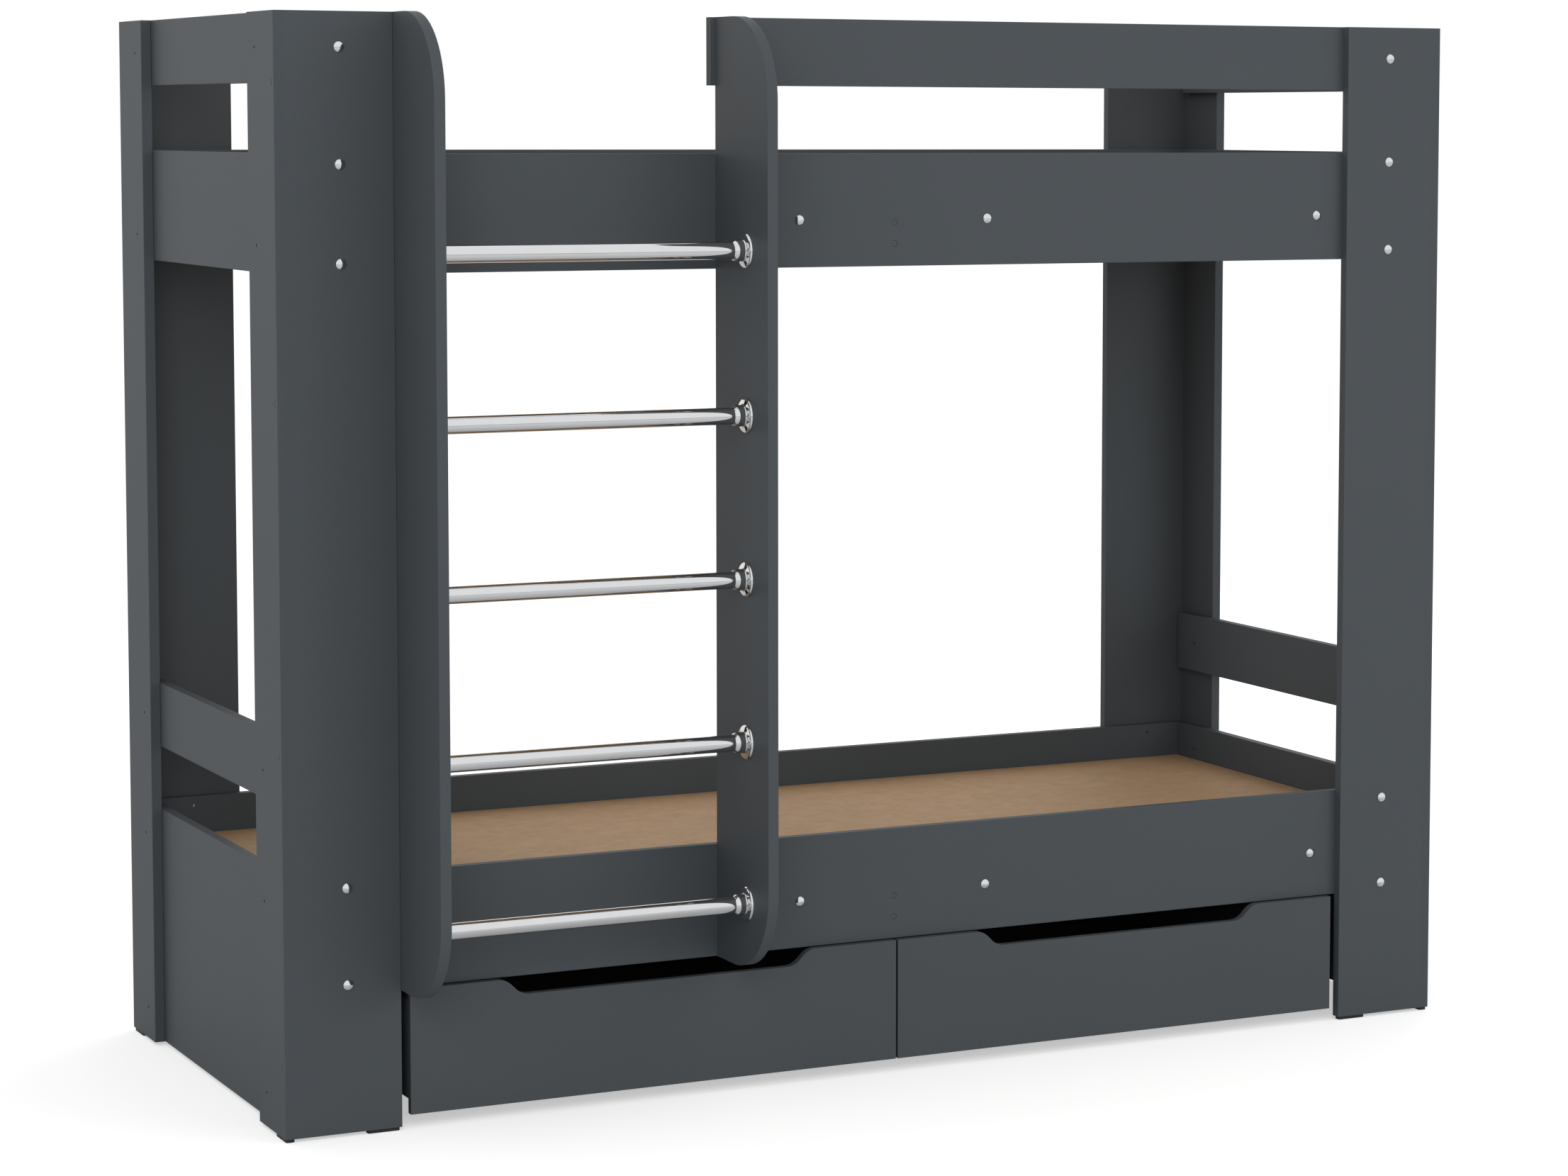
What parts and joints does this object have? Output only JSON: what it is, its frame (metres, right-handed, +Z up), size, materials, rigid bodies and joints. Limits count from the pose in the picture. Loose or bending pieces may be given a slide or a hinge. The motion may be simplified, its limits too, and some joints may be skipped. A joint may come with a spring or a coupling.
{
  "type": "bunk bed",
  "caption": "Bunk bed of flat laminated boards with L-shaped posts, front ladder of chrome rungs between round-ended cheeks, guard rail and roll-out drawers on castors below.",
  "frame": {"origin": "middle of the bed's footprint on the floor, ladder included", "axes": "+X along the bed from the ladder end, +Y from the front to the back, +Z up"},
  "size_m": [1.94, 0.976, 1.604],
  "materials": {
    "laminate": "satin anthracite laminate on chipboard",
    "fibreboard": "bare mottled fibreboard",
    "chrome": "polished",
    "dark_screw": "blackened",
    "cap_plastic": "matte, matched to the laminate",
    "black_plastic": "moulded",
    "wheel_plastic": "moulded"
  },
  "bodies": {
    "bed": {"left_front_side_board": "laminate", "left_back_side_board": "laminate", "left_front_end_board": "laminate", "left_back_end_board": "laminate", "left_top_rail": "laminate", "left_upper_rail": "laminate", "left_middle_rail": "laminate", "left_lower_panel": "laminate", "right_front_side_board": "laminate", "right_back_side_board": "laminate", "right_front_end_board": "laminate", "right_back_end_board": "laminate", "right_top_rail": "laminate", "right_upper_rail": "laminate", "right_middle_rail": "laminate", "right_lower_panel": "laminate", "guard_rail": "laminate", "short_guard_rail": "laminate", "upper_front_rail": "laminate", "upper_back_rail": "laminate", "lower_front_rail": "laminate", "lower_back_rail": "laminate", "left_ladder_cheek": "laminate", "right_ladder_cheek": "laminate", "upper_base_halves": "fibreboard", "lower_base_halves": "fibreboard", "cross_beams": "laminate", "base_cleats": "laminate", "rung_1": "chrome", "rung_2": "chrome", "rung_3": "chrome", "rung_4": "chrome", "rung_5": "chrome", "rung_flanges": "chrome", "chrome_bolts": "chrome", "end_rail_screws": "dark_screw", "flange_screws": "dark_screw", "cover_caps": "cap_plastic", "glides": "black_plastic"},
    "left_drawer": {"left_drawer_front": "laminate", "left_drawer_left_side": "laminate", "left_drawer_right_side": "laminate", "left_drawer_back": "laminate", "left_drawer_bottom": "laminate", "left_castor_forks": "black_plastic"},
    "left_drawer_wheel_front_left": {"left_drawer_wheel_front_left": "wheel_plastic"},
    "left_drawer_wheel_front_right": {"left_drawer_wheel_front_right": "wheel_plastic"},
    "left_drawer_wheel_back_left": {"left_drawer_wheel_back_left": "wheel_plastic"},
    "left_drawer_wheel_back_right": {"left_drawer_wheel_back_right": "wheel_plastic"},
    "right_drawer": {"right_drawer_front": "laminate", "right_drawer_left_side": "laminate", "right_drawer_right_side": "laminate", "right_drawer_back": "laminate", "right_drawer_bottom": "laminate", "right_castor_forks": "black_plastic"},
    "right_drawer_wheel_front_left": {"right_drawer_wheel_front_left": "wheel_plastic"},
    "right_drawer_wheel_front_right": {"right_drawer_wheel_front_right": "wheel_plastic"},
    "right_drawer_wheel_back_left": {"right_drawer_wheel_back_left": "wheel_plastic"},
    "right_drawer_wheel_back_right": {"right_drawer_wheel_back_right": "wheel_plastic"}
  },
  "joints": [
    {"name": "left_drawer_slide", "type": "slide", "parent": "bed", "child": "left_drawer", "axis": [0, -1, 0], "range_m": [0, 0.6]},
    {"name": "left_drawer_wheel_front_left_spin", "type": "hinge", "parent": "left_drawer", "child": "left_drawer_wheel_front_left", "pos_m": [-0.6895, -0.1665, 0.017], "axis": [1, 0, 0], "continuous": true},
    {"name": "left_drawer_wheel_front_right_spin", "type": "hinge", "parent": "left_drawer", "child": "left_drawer_wheel_front_right", "pos_m": [-0.0939, -0.1665, 0.017], "axis": [1, 0, 0], "continuous": true},
    {"name": "left_drawer_wheel_back_left_spin", "type": "hinge", "parent": "left_drawer", "child": "left_drawer_wheel_back_left", "pos_m": [-0.6895, 0.3035, 0.017], "axis": [1, 0, 0], "continuous": true},
    {"name": "left_drawer_wheel_back_right_spin", "type": "hinge", "parent": "left_drawer", "child": "left_drawer_wheel_back_right", "pos_m": [-0.0939, 0.3035, 0.017], "axis": [1, 0, 0], "continuous": true},
    {"name": "right_drawer_slide", "type": "slide", "parent": "bed", "child": "right_drawer", "axis": [0, -1, 0], "range_m": [0, 0.6]},
    {"name": "right_drawer_wheel_front_left_spin", "type": "hinge", "parent": "right_drawer", "child": "right_drawer_wheel_front_left", "pos_m": [0.0939, -0.1665, 0.017], "axis": [1, 0, 0], "continuous": true},
    {"name": "right_drawer_wheel_front_right_spin", "type": "hinge", "parent": "right_drawer", "child": "right_drawer_wheel_front_right", "pos_m": [0.6895, -0.1665, 0.017], "axis": [1, 0, 0], "continuous": true},
    {"name": "right_drawer_wheel_back_left_spin", "type": "hinge", "parent": "right_drawer", "child": "right_drawer_wheel_back_left", "pos_m": [0.0939, 0.3035, 0.017], "axis": [1, 0, 0], "continuous": true},
    {"name": "right_drawer_wheel_back_right_spin", "type": "hinge", "parent": "right_drawer", "child": "right_drawer_wheel_back_right", "pos_m": [0.6895, 0.3035, 0.017], "axis": [1, 0, 0], "continuous": true}
  ],
  "couplings": [
    {"joint": "left_drawer_wheel_front_left_spin", "follows": "left_drawer_slide", "rad_per_m": 58.824},
    {"joint": "left_drawer_wheel_front_right_spin", "follows": "left_drawer_slide", "rad_per_m": 58.824},
    {"joint": "left_drawer_wheel_back_left_spin", "follows": "left_drawer_slide", "rad_per_m": 58.824},
    {"joint": "left_drawer_wheel_back_right_spin", "follows": "left_drawer_slide", "rad_per_m": 58.824},
    {"joint": "right_drawer_wheel_front_left_spin", "follows": "right_drawer_slide", "rad_per_m": 58.824},
    {"joint": "right_drawer_wheel_front_right_spin", "follows": "right_drawer_slide", "rad_per_m": 58.824},
    {"joint": "right_drawer_wheel_back_left_spin", "follows": "right_drawer_slide", "rad_per_m": 58.824},
    {"joint": "right_drawer_wheel_back_right_spin", "follows": "right_drawer_slide", "rad_per_m": 58.824}
  ]
}
